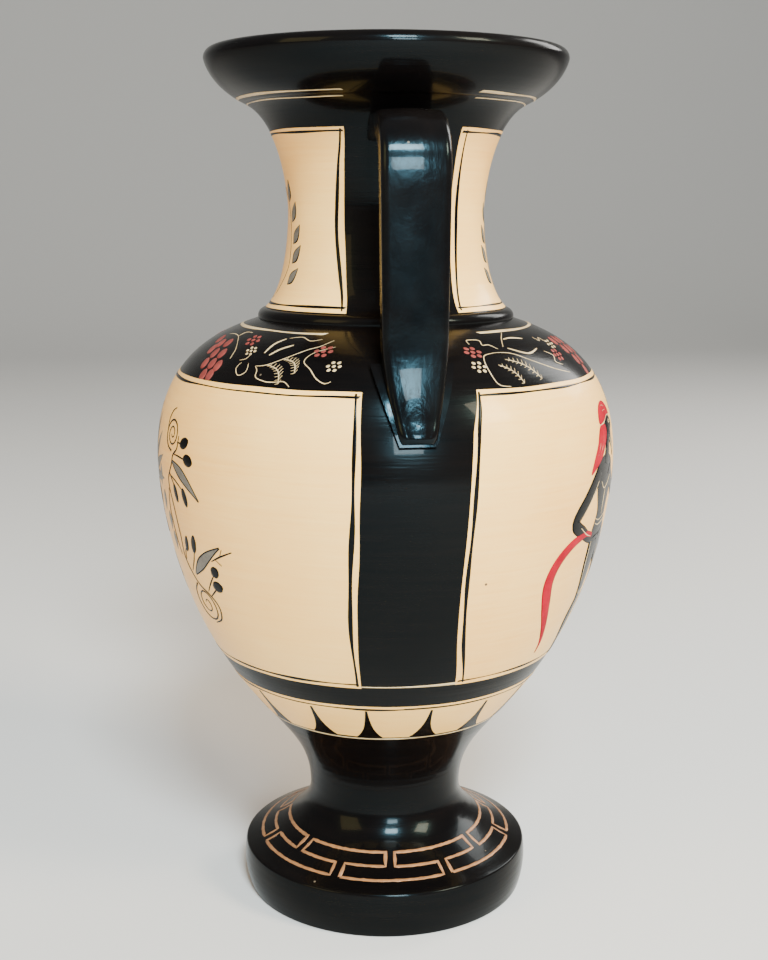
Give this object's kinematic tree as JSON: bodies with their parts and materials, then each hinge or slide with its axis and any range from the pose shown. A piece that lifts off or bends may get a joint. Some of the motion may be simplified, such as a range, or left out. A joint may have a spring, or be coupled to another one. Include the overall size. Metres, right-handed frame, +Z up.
{
  "type": "amphora",
  "caption": "Neck amphora with flared mouth, two upright strap handles, swelling body and stemmed disc foot, painted in black glaze over cream.",
  "frame": {"origin": "centre of the resting ring of the foot, on the ground", "axes": "+Z up along the vessel's axis; the two handles stand on +X and -X; -Y is the painted front"},
  "size_m": [0.1922, 0.1862, 0.3466],
  "materials": {
    "black_glaze": "glossy near-black glaze under varnish",
    "cream_ground": "smooth cream ground under varnish",
    "red_paint": "added red under varnish",
    "copper_paint": "copper-brown line paint under varnish",
    "joint_slip": "fired clay slip, matt"
  },
  "bodies": {
    "root": {"bowl": "cream_ground", "foot": "black_glaze", "handle_left": "black_glaze", "handle_right": "black_glaze", "handle_root_left": "black_glaze", "handle_root_right": "black_glaze", "mouth": "black_glaze", "neck": "cream_ground", "neck_ring": "black_glaze", "shoulder": "black_glaze", "slip_belly": "joint_slip", "slip_foot": "joint_slip", "slip_handle_base_left": "joint_slip", "slip_handle_base_right": "joint_slip", "slip_handle_top_left": "joint_slip", "slip_handle_top_right": "joint_slip", "slip_mouth": "joint_slip", "slip_neck": "joint_slip"}
  },
  "joints": []
}
